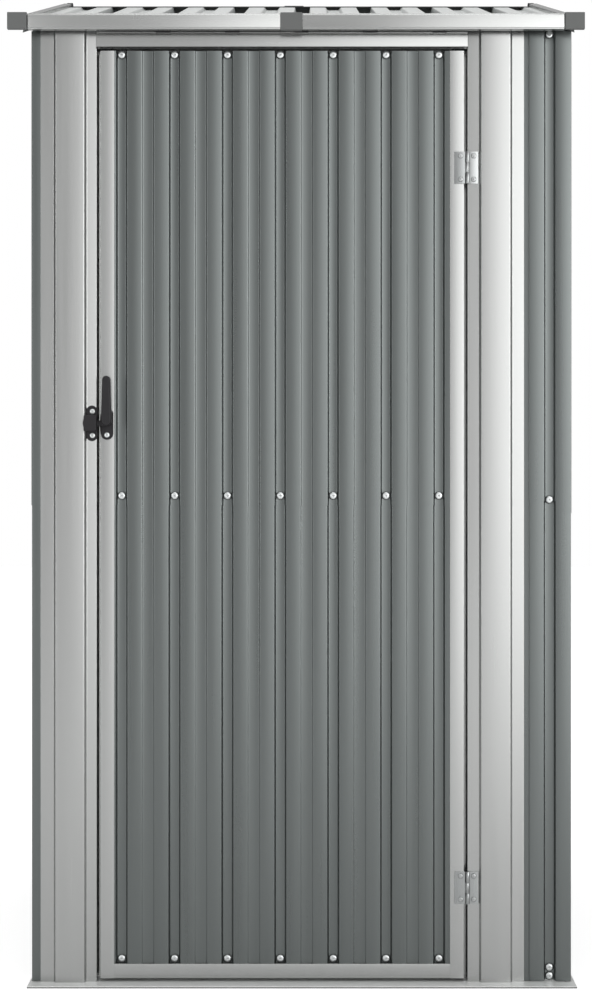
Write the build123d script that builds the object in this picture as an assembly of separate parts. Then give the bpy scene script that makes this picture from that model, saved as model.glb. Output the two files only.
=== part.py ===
from build123d import *
import math
import os

os.makedirs("parts", exist_ok=True)

# Overall sizes in millimetres, front at -Y
roof_width = 870.0
roof_depth = 980.0
total_height = 1590.0
roof_pitch = 13.95
side_reach = 24.5
eave_reach = 32.5
wall_shift = 8.0

# Sheet metal
sheet = 0.7
frame = 1.0
rib_depth = 8.0
rib_pitch = 80.5
rib_flat = 15.0
rib_flank = 2.0
groove_width = 19.8
groove_depth = 1.8
groove_flank = 1.5
groove_margin = 10.0
lap = 20.0

# Heights
base_plate = 3.0
base_upright = 40.0
foot_left = 3.0
foot_right = 5.0
sheet_lift = 1.0
wall_clear = 7.4
seam_share = 0.502
right_seam_drop = 12.0
front_seam_rise = 6.0

# Doorway and door
left_pier = 104.5
right_pier = 163.2
door_bottom = 8.0
over_door = 30.1
lintel_height = 18.5
lintel_reach = 7.5
moving_gap = 5.0
door_thick = 24.4
stile_width = 21.5
door_lip = 22.1
door_rail_low = 40.0
door_rail_middle = 35.0
door_rail_top = 25.0
door_first_rib = 32.4
front_last_rib = 32.8
stop_width = 18.0
left_return = 20.0
right_return = 23.4

# Planes of the wall frame, where the valleys of the sheets rest
wall_width = roof_width - 2 * side_reach
wall_depth = roof_depth - 2 * eave_reach
face_x = wall_width / 2 - rib_depth - 2 * sheet
face_y = wall_depth / 2 - rib_depth - 2 * sheet
crown_y = wall_depth / 2
front_y = crown_y + frame
door_back = front_y - door_thick

# Jamb strips, measured from the doorway outward
left_strip_inner = 15.4
left_strip_centre = 43.5
left_strip_outer = 20.1
right_strip_inner = 17.5
right_strip_centre = 44.2
right_strip_outer = 17.9
strip_slope = 3.2
strip_raise = 6.0

# Roof
roof_rib_pitch = 105.0
roof_rib_depth = 16.0
roof_rib_open = 27.0
roof_rib_flat = 20.0
roof_groove_depth = 5.0
roof_groove_flat = 19.0
barge_width = 21.8
barge_slant = 7.0
barge_rise = 5.0
barge_lip = 6.0
eave_height = 24.1
eave_hem = 2.0
eave_step = 0.8
eave_flange_low = 12.0
eave_flange_high = 8.0
eave_joint = 1.0
cap_skin = 1.0
cap_lift = 1.4
corner_cap_width = 29.5
corner_cap_depth = 8.0
corner_cap_gap = 1.5
centre_cap_width = 33.0
centre_cap_shift = -7.0
ridge_wing = 25.0
ridge_joint_width = 8.7
ridge_joint_half = 7.0
ridge_joint_skin = 0.8
trim_play = 0.3

# Hinges
hinge_out = 5.0
hinge_height = 48.7
hinge_low = 138.0
hinge_high = 177.7
knuckle_radius = 3.0
pin_radius = 1.5
pin_play = 0.2
jamb_leaf_width = 13.0
door_leaf_width = 17.0
leaf_thick = 1.5
hinge_stand = 3.5

# Latch
pivot_in = 10.8
pivot_share = 0.601
lever_length = 67.8
lever_low_radius = 7.9
lever_top_radius = 6.0
lever_thick = 11.0
lever_round = 2.5
handle_plate = 4.0
handle_width = 19.0
handle_height = 48.0
handle_drop = 4.6
spur_reach = 24.9
spur_height = 8.0
spur_thick = 4.5
keeper_width = 16.5
keeper_height = 54.0
keeper_drop = 3.8
keeper_over = 1.0
keeper_reach = 21.0
hook_height = 24.0
hook_wall = 1.4
hook_point = 2.6
hook_skin = 2.5

slope = math.tan(math.radians(roof_pitch))
lean = math.cos(math.radians(roof_pitch))
stop_y = door_back - moving_gap
wall_bottom = base_plate + sheet_lift

# Ridge height of the roof sheets' underside, from the total height downward
barge_top = total_height - ridge_joint_skin / lean
crown_ridge = barge_top - frame - barge_rise
ridge_under = crown_ridge - roof_rib_depth - sheet

# Walls and door follow the roof
wall_top = ridge_under - slope * face_y - wall_clear
left_seam = wall_top * seam_share
right_seam = left_seam - right_seam_drop
front_seam = left_seam + front_seam_rise
door_top = wall_top - over_door
door_left = left_pier - wall_width / 2
door_right = wall_width / 2 - right_pier
left_opening = door_left - moving_gap
right_opening = door_right + moving_gap
hinge_x = door_right + hinge_out
pivot_x = door_left + pivot_in
pivot_z = door_bottom + pivot_share * (door_top - door_bottom)


def parallel(points, distance):
    # Mitred parallel of an open line, positive to the left of its run
    normals = []
    for (x0, y0), (x1, y1) in zip(points, points[1:]):
        length = math.hypot(x1 - x0, y1 - y0)
        normals.append(((y0 - y1) / length, (x1 - x0) / length))
    result = []
    for i, (x, y) in enumerate(points):
        a = normals[max(i - 1, 0)]
        b = normals[min(i, len(normals) - 1)]
        share = distance / (1 + a[0] * b[0] + a[1] * b[1])
        result.append((x + (a[0] + b[0]) * share, y + (a[1] + b[1]) * share))
    return result


def band(points, low, high):
    # Closed outline of a bent sheet between two parallels of a line
    return parallel(points, low) + parallel(points, high)[::-1]


def prism(corners, direction, amount):
    face = make_face(Polyline(*corners, close=True))
    return extrude(face, amount=amount, dir=direction)


def upright(outline, low, high):
    # Outline in X and Y, run up
    return prism([(x, y, low) for x, y in outline], (0, 0, 1), high - low)


def across(outline, left, right):
    # Outline in Y and Z, run along X
    return prism([(left, y, z) for y, z in outline], (1, 0, 0), right - left)


def up_slope(outline, front, back):
    # Outline in X and Z at the front, run back along the roof slope
    direction = (0, math.cos(math.radians(roof_pitch)), math.sin(math.radians(roof_pitch)))
    length = (back - front) / math.cos(math.radians(roof_pitch))
    return prism([(x, front, z) for x, z in outline], direction, length)


def block(x0, x1, y0, y1, z0, z1):
    centre = ((x0 + x1) / 2, (y0 + y1) / 2, (z0 + z1) / 2)
    return Pos(*centre) * Box(x1 - x0, y1 - y0, z1 - z0)


def roof_under(y):
    # Height of the roof sheets' underside over a depth
    return ridge_under - slope * abs(y)


def save(name, *solids):
    shape = solids[0]
    for solid in solids[1:]:
        shape = shape + solid
    export_step(shape, "parts/" + name + ".step")


def save_wall(name, *solids):
    # Wall pieces are drawn about the wall's own centre line
    save(name, *[Pos(wall_shift, 0, 0) * solid for solid in solids])


# Ribbed wall sheets


def rib_centres(middle, half, end):
    # Valley centres on the rib pitch that stay clear of both ends
    count = int(2 * half / rib_pitch) + 2
    steps = [middle + rib_pitch * k for k in range(-count, count + 1)]
    return [c for c in steps if abs(c) < half - end]


def ribbed(start, end, centres):
    # Line of a wall sheet, zero in the valleys and the rib depth on the crowns
    marks = []
    valley = rib_flat / 2
    for c in centres:
        marks.append((c - valley - rib_flank, c, [(c - valley - rib_flank, rib_depth),
                                                  (c - valley, 0),
                                                  (c + valley, 0),
                                                  (c + valley + rib_flank, rib_depth)]))
    half = groove_width / 2
    low = rib_depth - groove_depth
    middles = [centres[0] - rib_pitch / 2] + [c + rib_pitch / 2 for c in centres]
    for g in middles:
        if g - half > start + groove_margin and g + half < end - groove_margin:
            marks.append((g - half, g, [(g - half, rib_depth),
                                        (g - half + groove_flank, low),
                                        (g + half - groove_flank, low),
                                        (g + half, rib_depth)]))
    line = [(start, rib_depth)]
    for _, _, points in sorted(marks):
        line.extend(points)
    line.append((end, rib_depth))
    return line


def lower_band(line):
    return band(line, 0, sheet)


def upper_band(line):
    return band(line, sheet, 2 * sheet)


def on_front(outline):
    return [(u, -face_y - v) for u, v in outline]


def on_back(outline):
    return [(u, face_y + v) for u, v in outline]


def on_left(outline):
    return [(-face_x - v, u) for u, v in outline]


def on_right(outline):
    return [(face_x + v, u) for u, v in outline]


# Side walls, both wrap round the front corners and the right one covers the front sheet
side_end = face_y + rib_depth
side_centres = rib_centres(0, side_end, 30)
side_line = ribbed(-side_end, side_end + 2 * sheet, side_centres)
left_line = [(-side_end, rib_depth + 2 * sheet - left_return)] + side_line
right_front = -side_end - 2 * sheet
right_line = [(right_front, rib_depth + 2 * sheet - right_return)] + ribbed(
    right_front, side_end + 2 * sheet, side_centres)

save_wall("left_wall_lower", upright(on_left(lower_band(left_line)), wall_bottom, left_seam + lap))
save_wall("left_wall_upper", upright(on_left(upper_band(left_line)), left_seam, wall_top))
save_wall("right_wall_lower", upright(on_right(lower_band(right_line)), wall_bottom, right_seam + lap))
save_wall("right_wall_upper", upright(on_right(upper_band(right_line)), right_seam, wall_top))

# Gable sheets lap behind the tops of the side walls and end under the roof
gable_bottom = wall_top - lap
gable_line = ribbed(-face_y, face_y, side_centres)
eave_under = roof_under(face_y)
gable_space = across([(-face_y, gable_bottom), (face_y, gable_bottom), (face_y, eave_under),
                      (0, ridge_under), (-face_y, eave_under)], -wall_width, wall_width)
save_wall("left_gable", upright(on_left(lower_band(gable_line)), gable_bottom, ridge_under) & gable_space)
save_wall("right_gable", upright(on_right(lower_band(gable_line)), gable_bottom, ridge_under) & gable_space)

# Back wall between the side walls
back_end = face_x + rib_depth
back_line = ribbed(-back_end, back_end, rib_centres(0, back_end, 30))
save_wall("back_wall_lower", upright(on_back(lower_band(back_line)), wall_bottom, left_seam + lap))
save_wall("back_wall_upper", upright(on_back(upper_band(back_line)), left_seam, wall_top))

# Narrow front wall right of the doorway
front_start = right_opening + right_strip_inner + right_strip_centre
front_line = ribbed(front_start, back_end, [wall_width / 2 - front_last_rib])
save_wall("front_wall_lower", upright(on_front(lower_band(front_line)), wall_bottom, front_seam + lap))
save_wall("front_wall_upper", upright(on_front(upper_band(front_line)), front_seam, wall_top))

# Base rails, a wide foot plate with an upright behind the sheets
base_inner = 30.0
foot_x0 = -wall_width / 2 - foot_left
foot_x1 = wall_width / 2 + foot_right
half_y = roof_depth / 2
front_plate = block(foot_x0, foot_x1, -half_y, -stop_y + frame, 0, base_plate)
front_upright_left = block(-face_x, left_opening - frame, -face_y, -face_y + frame, base_plate, base_upright)
front_upright_right = block(right_opening + frame, face_x, -face_y, -face_y + frame, base_plate,
                            base_upright)
threshold = block(left_opening + stop_width, right_opening - stop_width, -stop_y, -stop_y + frame,
                  base_plate, base_upright)
save_wall("base_front_rail", front_plate + front_upright_left + front_upright_right + threshold)

back_plate = block(foot_x0, foot_x1, stop_y - frame, half_y, 0, base_plate)
back_upright = block(-face_x, face_x, face_y - frame, face_y, base_plate, base_upright)
save_wall("base_back_rail", back_plate + back_upright)

left_plate = block(foot_x0, -face_x + base_inner, -stop_y + frame, stop_y - frame, 0, base_plate)
right_plate = block(face_x - base_inner, foot_x1, -stop_y + frame, stop_y - frame, 0, base_plate)
side_upright = block(-face_x, -face_x + frame, -face_y + frame, face_y - frame, base_plate, base_upright)
save_wall("base_left_rail", left_plate + side_upright)
save_wall("base_right_rail", right_plate + mirror(side_upright, about=Plane.YZ))

# Corner posts, angles just inside the rails
post_leg = 30.0
post_x = face_x - frame
post_y = face_y - frame
post_line = [(-post_x + post_leg, -post_y), (-post_x, -post_y), (-post_x, -post_y + post_leg)]
post = upright(band(post_line, -frame, 0), base_plate, wall_top)
posts = post + mirror(post, about=Plane.YZ)
save_wall("corner_posts", posts + mirror(posts, about=Plane.XZ))

# Middle and top rails between the posts
rail_height = 30.0
rail_flange = 15.0


def side_rail(level):
    # Angle along the left wall, its flange stops at the posts
    web = block(-face_x, -face_x + frame, -face_y + frame, face_y - frame, level, level + rail_height)
    flange = block(-face_x + frame, -face_x + rail_flange, -post_y + post_leg, post_y - post_leg,
                   level + rail_height - frame, level + rail_height)
    return web + flange


def back_rail(level):
    web = block(-face_x, face_x, face_y - frame, face_y, level, level + rail_height)
    flange = block(-post_x + post_leg, post_x - post_leg, face_y - rail_flange, face_y - frame,
                   level + rail_height - frame, level + rail_height)
    return web + flange


middle_rail = left_seam - 5
left_rail = side_rail(middle_rail)
save_wall("side_middle_rails", left_rail, mirror(left_rail, about=Plane.YZ))
save_wall("back_middle_rail", back_rail(middle_rail))
top_rail = side_rail(wall_top - rail_height)
save_wall("side_top_rails", top_rail, mirror(top_rail, about=Plane.YZ))

# Back top rail, its sloped flange carries the roof sheets
back_top_line = [(face_y, wall_top - rail_height), (face_y, roof_under(face_y)),
                 (stop_y, roof_under(stop_y))]
save_wall("back_top_rail", across(band(back_top_line, 0, frame), -face_x, face_x))

# Front top rail, with a stop leg behind the top of the door
lintel_low = door_top + moving_gap
lintel_high = lintel_low + lintel_height
front_top_line = [(-face_y, lintel_low), (-face_y, roof_under(face_y)), (-stop_y, roof_under(stop_y))]
front_top = across(band(front_top_line, -frame, 0), -face_x, face_x)
stop_leg = block(left_opening + stop_width, right_opening - stop_width, -stop_y, -stop_y + frame,
                 door_top - stop_width, roof_under(stop_y) - frame / 2)
save_wall("front_top_rail", front_top + stop_leg)

# Ridge beam, a peaked channel from gable to gable
beam_half = 30.0
beam_depth = 25.0
beam_edge = roof_under(beam_half)
beam_line = [(-beam_half, beam_edge - beam_depth), (-beam_half, beam_edge), (0, ridge_under),
             (beam_half, beam_edge), (beam_half, beam_edge - beam_depth)]
save_wall("ridge_beam", across(band(beam_line, -frame, 0), -face_x, face_x))


# Jambs with a raised centre strip and a stop behind the door
def jamb(edge, way, strips):
    # way is -1 for the left jamb and 1 for the right one
    inner = edge + way * strips[0]
    rise_in = inner + way * strip_slope
    rise_out = rise_in + way * strips[1]
    outer = rise_out + way * strip_slope
    end = outer + way * strips[2]
    high = front_y + strip_raise
    face = [(edge, -front_y), (inner, -front_y), (rise_in, -high), (rise_out, -high),
            (outer, -front_y), (end, -front_y)]
    strips = upright(band(face, 0, way * frame), base_plate, wall_top)
    back = [(edge, -front_y), (edge, -stop_y), (edge - way * stop_width, -stop_y)]
    web = upright(band(back, 0, -way * frame), base_plate, lintel_low)
    return strips + web


left_strips = (left_strip_inner, left_strip_centre, left_strip_outer)
right_strips = (right_strip_inner, right_strip_centre, right_strip_outer)
save_wall("left_jamb", jamb(left_opening, -1, left_strips))
save_wall("right_jamb", jamb(right_opening, 1, right_strips))

# Lintel over the door, it steps back between the jambs and ends on the top rail
lintel_front = front_y + lintel_reach
recess_top = roof_under(front_y) - 0.6
lintel_line = [(-lintel_front, lintel_low), (-lintel_front, lintel_high), (-front_y, lintel_high),
               (-front_y, recess_top), (-face_y, recess_top)]
save_wall("lintel", across(band(lintel_line, -frame, 0), left_opening, right_opening))

# Door frame
stile_left_line = [(door_left + stile_width, -front_y), (door_left, -front_y),
                   (door_left, -door_back), (door_left + stile_width, -door_back)]
save_wall("door_left_stile", upright(band(stile_left_line, -frame, 0), door_bottom, door_top))
stile_right_line = [(door_right - stile_width, -front_y), (door_right, -front_y),
                    (door_right, -door_back), (door_right - stile_width, -door_back)]
save_wall("door_right_stile", upright(band(stile_right_line, 0, frame), door_bottom, door_top))
inner_left = door_left + frame
inner_right = door_right - frame
rail_back = -door_back - frame


def door_channel(low, high):
    line = [(rail_back, high), (-face_y, high), (-face_y, low), (rail_back, low)]
    return across(band(line, 0, frame), inner_left, inner_right)


save_wall("door_top_rail", door_channel(door_top - door_rail_top, door_top))
save_wall("door_middle_rail", door_channel(middle_rail, middle_rail + door_rail_middle))
lip_line = [(-front_y, door_bottom + door_lip), (-front_y, door_bottom), (-face_y + frame, door_bottom)]
lip = across(band(lip_line, 0, frame), door_left + stile_width, door_right - stile_width)
foot_line = [(-crown_y, door_bottom), (-face_y + frame, door_bottom),
             (-face_y + frame, door_bottom + door_rail_low)]
save_wall("door_bottom_rail", lip + across(band(foot_line, 0, frame), inner_left, inner_right))

# Door sheets
rib_count = int((door_right - door_left - 2 * door_first_rib) / rib_pitch) + 1
door_ribs = [door_left + door_first_rib + rib_pitch * k for k in range(rib_count)]
door_line = ribbed(inner_left, inner_right, door_ribs)
door_sheet_low = door_bottom + frame
save_wall("door_sheet_lower", upright(on_front(lower_band(door_line)), door_sheet_low, left_seam + lap))
save_wall("door_sheet_upper", upright(on_front(upper_band(door_line)), left_seam, door_top))

# Hinges, two knuckles and the pin stay on the jamb
hinge_y = -front_y - hinge_stand
third = hinge_height / 3
tab = leaf_thick + 0.1


def standing(x, y, radius, low, high):
    return Pos(x, y, (low + high) / 2) * Cylinder(radius, high - low)


def jamb_leaf(level):
    low = level - hinge_height / 2
    plate = block(hinge_x + knuckle_radius + 0.5, hinge_x + knuckle_radius + jamb_leaf_width,
                  -front_y - leaf_thick, -front_y, low, low + hinge_height)
    piece = plate + standing(hinge_x, hinge_y, pin_radius, low, low + hinge_height)
    for start in (low, low + 2 * third):
        piece = piece + standing(hinge_x, hinge_y, knuckle_radius, start, start + third)
        piece = piece + block(hinge_x + tab, hinge_x + knuckle_radius + 1, -front_y - leaf_thick,
                              -front_y, start, start + third)
    return piece


def door_leaf(level):
    low = level - hinge_height / 2
    plate = block(hinge_x - knuckle_radius - door_leaf_width, hinge_x - knuckle_radius - 0.5,
                  -front_y - leaf_thick, -front_y, low, low + hinge_height)
    start = low + third + 0.3
    end = low + 2 * third - 0.3
    piece = plate + standing(hinge_x, hinge_y, knuckle_radius, start, end)
    piece = piece + block(hinge_x - knuckle_radius - 1, hinge_x - tab, -front_y - leaf_thick,
                          -front_y, start, end)
    return piece - standing(hinge_x, hinge_y, pin_radius + pin_play, start, end)


hinge_levels = (door_bottom + hinge_low, door_top - hinge_high)
save_wall("hinge_jamb_leaves", *[jamb_leaf(level) for level in hinge_levels])
save_wall("hinge_door_leaves", *[door_leaf(level) for level in hinge_levels])


# Latch: plate on the stile, lever with its spur, and a hook-shaped keeper on the jamb
def forward(shape, amount):
    # Sketch in X and Z, pushed toward the front
    return Rot(90, 0, 0) * extrude(shape, amount=amount)


def eased(solid, radius):
    # Rounded rim of the front face
    return fillet(solid.faces().sort_by(Axis.Y)[0].edges(), radius)


plate_shape = SlotOverall(handle_height, handle_width, rotation=90)
plate = forward(plate_shape, handle_plate)
plate = chamfer(plate.faces().sort_by(Axis.Y)[0].edges(), handle_plate / 4)
save_wall("handle_base", Pos(pivot_x, -front_y, pivot_z - handle_drop) * plate)

plate_front = front_y + handle_plate
lever_back = plate_front + moving_gap
top_circle = Pos(0, lever_length - lever_top_radius) * Circle(lever_top_radius)
lever_shape = make_hull((Circle(lever_low_radius) + top_circle).edges())
lever = Pos(pivot_x, -lever_back, pivot_z) * eased(forward(lever_shape, lever_thick), lever_round)
hub = Pos(pivot_x, -plate_front, pivot_z) * forward(Circle(lever_low_radius - 1), moving_gap + 1)
spur_z = pivot_z - keeper_drop
spur = block(pivot_x - spur_reach, pivot_x, -lever_back - spur_thick, -lever_back,
             spur_z - spur_height / 2, spur_z + spur_height / 2)
save_wall("handle_lever", lever + hub + spur)

keeper_right = left_opening + keeper_over
hook_left = keeper_right - keeper_width - hook_wall
hook_half = hook_height / 2
keeper_plate = Pos(keeper_right - keeper_width / 2, -front_y, spur_z) * forward(
    SlotOverall(keeper_height, keeper_width, rotation=90), leaf_thick)
hook_shape = make_face(Polyline((keeper_right, -hook_half), (hook_left, -hook_half),
                                (hook_left - hook_point, 0), (hook_left, hook_half),
                                (keeper_right, hook_half), close=True))
hook = Pos(0, -front_y, spur_z) * eased(forward(hook_shape, keeper_reach), hook_wall)
hook = hook - block(hook_left + hook_wall, keeper_right, -front_y - keeper_reach + hook_skin,
                    -front_y - leaf_thick, spur_z - hook_half, spur_z + hook_half)
strip_edge = left_opening - left_strip_inner
jamb_space = upright([(strip_edge, -front_y), (strip_edge - strip_slope, -front_y - strip_raise),
                      (hook_left - 2 * hook_point, -front_y - strip_raise),
                      (hook_left - 2 * hook_point, -front_y)],
                     spur_z - keeper_height / 2, spur_z + keeper_height / 2)
save_wall("latch_keeper", keeper_plate + hook - jamb_space)

# Roof sheets, run up the slope with upright ends under the barge trims
trim_shift = wall_shift / 2
barge_height = barge_lip + roof_rib_depth + sheet + barge_rise + frame
lip_lean = barge_slant * barge_lip / barge_height
lip_skin = 1.1 * frame
barge_outer = wall_width / 2 - sheet + trim_shift + lip_lean + lip_skin + trim_play
barge_inner = barge_outer - barge_width
roof_end = barge_outer - lip_lean - lip_skin - frame / 2
roof_crown_end = barge_inner + 3 * frame
bar_y = roof_depth / 2 - cap_skin
eave_y = bar_y - eave_step - frame


def roof_line():
    # Line of a roof sheet over its underside
    run = (roof_rib_open - roof_rib_flat) / 2
    left = trim_shift - roof_crown_end
    right = trim_shift + roof_crown_end
    half = roof_rib_open / 2
    marks = []
    count = int(roof_width / roof_rib_pitch) + 1
    for k in range(-2 * count, 2 * count + 1):
        c = wall_shift + k * roof_rib_pitch / 2
        deep = k % 2 == 0
        if c - half < left + 5 or c + half > right - 5:
            continue
        flat = roof_rib_flat / 2 if deep else roof_groove_flat / 2
        low = 0 if deep else roof_rib_depth - roof_groove_depth
        marks.extend([(c - half, roof_rib_depth), (c - flat, low), (c + flat, low),
                      (c + half, roof_rib_depth)])
    start = [(trim_shift - roof_end, 0), (left - run, 0), (left, roof_rib_depth)]
    return start + marks + [(right, roof_rib_depth), (right + run, 0), (trim_shift + roof_end, 0)]


eave_z = roof_under(eave_y)
roof_outline = [(x, eave_z + z) for x, z in band(roof_line(), 0, sheet)]
front_sheet = up_slope(roof_outline, -eave_y, 0)
save("front_roof_sheet", front_sheet)
save("back_roof_sheet", mirror(front_sheet, about=Plane.XZ))

# Ridge cap on the crowns of both sheets
ridge_line = [(-ridge_wing, crown_ridge - slope * ridge_wing), (0, crown_ridge),
              (ridge_wing, crown_ridge - slope * ridge_wing)]
ridge_end = barge_inner - cap_skin - trim_play
save("ridge_cap", across(band(ridge_line, 0, frame), trim_shift - ridge_end, trim_shift + ridge_end))

# Barge trims over both ends of the sheets, their inner legs stand on the crowns
barge_front = roof_depth / 2 - corner_cap_depth


def barge(way):
    outer = trim_shift + way * barge_outer
    inner = trim_shift + way * barge_inner
    under = roof_under(barge_front)
    crown = under + roof_rib_depth + sheet
    low = under - barge_lip
    high = low + barge_height
    line = [(outer, low), (outer - way * barge_slant, high), (inner, high), (inner, crown)]
    return up_slope(band(line, 0, way * frame), -barge_front, 0)


left_barge = barge(-1)
right_barge = barge(1)
save("left_barge_trims", left_barge + mirror(left_barge, about=Plane.XZ))
save("right_barge_trims", right_barge + mirror(right_barge, about=Plane.XZ))

# Eave bars, two halves each with a step along both edges, over the ends of the sheets
bar_low = eave_z - frame
bar_high = bar_low + eave_height
step_y = bar_y - eave_step
bar_line = [(-bar_y + eave_flange_low, bar_low), (-step_y, bar_low), (-step_y, bar_low + eave_hem),
            (-bar_y, bar_low + eave_hem + eave_step), (-bar_y, bar_high - eave_hem - eave_step),
            (-step_y, bar_high - eave_hem), (-step_y, bar_high), (-bar_y + eave_flange_high, bar_high)]
bar_outline = band(bar_line, -frame, 0)
cap_inner = roof_width / 2 - corner_cap_width
bar_end = cap_inner - corner_cap_gap
left_bar = across(bar_outline, -bar_end, centre_cap_shift - eave_joint / 2)
right_bar = across(bar_outline, centre_cap_shift + eave_joint / 2, bar_end)
save("front_eave_bars", left_bar, right_bar)
save("back_eave_bars", mirror(left_bar, about=Plane.XZ), mirror(right_bar, about=Plane.XZ))

# Plastic caps at the eave corners
corner = block(-roof_width / 2, -cap_inner, -roof_depth / 2, -barge_front, bar_low, bar_high + cap_lift)
corner = corner - block(-roof_width / 2 + cap_skin, -cap_inner, -eave_y, -barge_front, eave_z, bar_high)
corners = corner + mirror(corner, about=Plane.YZ)
corners = corners + mirror(corners, about=Plane.XZ)


def ridge_joint(way):
    # Plastic saddle over the ends of the barge trims, its leg stands on the ridge beside the cap
    half = ridge_joint_half
    inner = trim_shift + way * barge_inner
    end = inner + way * ridge_joint_width
    leg = inner - way * cap_skin
    saddle_line = [(-half, barge_top - slope * half), (0, barge_top), (half, barge_top - slope * half)]
    saddle = across(band(saddle_line, 0, ridge_joint_skin), min(leg, end), max(leg, end))
    foot_line = [(half, crown_ridge - slope * half), (0, crown_ridge), (-half, crown_ridge - slope * half)]
    return saddle + across(saddle_line + foot_line, min(leg, inner), max(leg, inner))


save("corner_caps", corners, ridge_joint(-1), ridge_joint(1))

# Plastic caps over the joints of the eave bars and the middle of the ridge
cap_line = [(-bar_y + eave_flange_low, bar_low), (-bar_y, bar_low), (-bar_y, bar_high),
            (-bar_y + eave_flange_high, bar_high)]
cap_left = centre_cap_shift - centre_cap_width / 2
cap_right = centre_cap_shift + centre_cap_width / 2
centre_cap = across(band(cap_line, 0, cap_skin), cap_left, cap_right)
top_cap = across(band(ridge_line, frame, frame + cap_skin), cap_left, cap_right)
save("centre_caps", centre_cap, mirror(centre_cap, about=Plane.XZ), top_cap)
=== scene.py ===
import bpy
import bmesh
import math
from mathutils import Matrix, Vector


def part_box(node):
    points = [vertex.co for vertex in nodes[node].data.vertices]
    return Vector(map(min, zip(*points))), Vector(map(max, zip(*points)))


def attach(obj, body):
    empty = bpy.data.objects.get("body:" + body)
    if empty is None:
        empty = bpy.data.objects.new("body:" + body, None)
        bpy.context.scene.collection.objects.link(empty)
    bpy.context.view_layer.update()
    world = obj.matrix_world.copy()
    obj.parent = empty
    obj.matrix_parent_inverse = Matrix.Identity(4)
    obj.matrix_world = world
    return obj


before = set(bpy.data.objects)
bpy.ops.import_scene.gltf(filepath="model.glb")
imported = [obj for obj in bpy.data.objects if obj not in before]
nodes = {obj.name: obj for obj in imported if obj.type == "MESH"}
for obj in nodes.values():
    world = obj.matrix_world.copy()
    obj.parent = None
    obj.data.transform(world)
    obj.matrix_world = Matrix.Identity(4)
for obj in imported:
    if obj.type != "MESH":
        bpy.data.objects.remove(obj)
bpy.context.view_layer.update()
print("frame loaded")

mm = 0.001
wallShift = 8 * mm  # the walls stand this far right of the roof's middle

cameraSettings = {  # level, and square to the front
    "place": (0.0241, -3.740, 0.776),
    "lens": 78.36,
    "shift": (-0.01613, -0.02319),
}


def makeCamera():
    data = bpy.data.cameras.new("camera")
    data.lens = cameraSettings["lens"]
    data.sensor_width = 36
    data.shift_x, data.shift_y = cameraSettings["shift"]
    camera = bpy.data.objects.new("camera", data)
    camera.location = cameraSettings["place"]
    camera.rotation_euler = (math.radians(90), 0, 0)
    bpy.context.scene.collection.objects.link(camera)
    bpy.context.scene.camera = camera


makeCamera()
bpy.context.scene.view_settings.view_transform = "Standard"
print("camera placed")


def newMaterial(name):
    material = bpy.data.materials.new(name)
    material.use_nodes = True
    tree = material.node_tree
    tree.nodes.clear()
    output = tree.nodes.new("ShaderNodeOutputMaterial")
    shader = tree.nodes.new("ShaderNodeBsdfPrincipled")
    tree.links.new(shader.outputs["BSDF"], output.inputs["Surface"])
    return material, tree, shader


def addGroup(tree, group, **values):
    node = tree.nodes.new("ShaderNodeGroup")
    node.node_tree = group
    for name, value in values.items():
        node.inputs[name].default_value = value
    return node


def groupSockets(group, inputs, outputs):
    for name, kind, value in inputs:
        socket = group.interface.new_socket(name, in_out="INPUT", socket_type="NodeSocket" + kind)
        socket.default_value = value
    for name, kind in outputs:
        group.interface.new_socket(name, in_out="OUTPUT", socket_type="NodeSocket" + kind)


def mathNode(tree, operation, first, second):
    node = tree.nodes.new("ShaderNodeMath")
    node.operation = operation
    for socket, value in zip(node.inputs, (first, second)):
        if isinstance(value, (int, float)):
            socket.default_value = value
        else:
            tree.links.new(value, socket)
    return node.outputs[0]


rolledSettings = {"spangle": 900, "streakShare": 0.85, "spangleShare": 0.15, "roughnessChange": 0.12}


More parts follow.
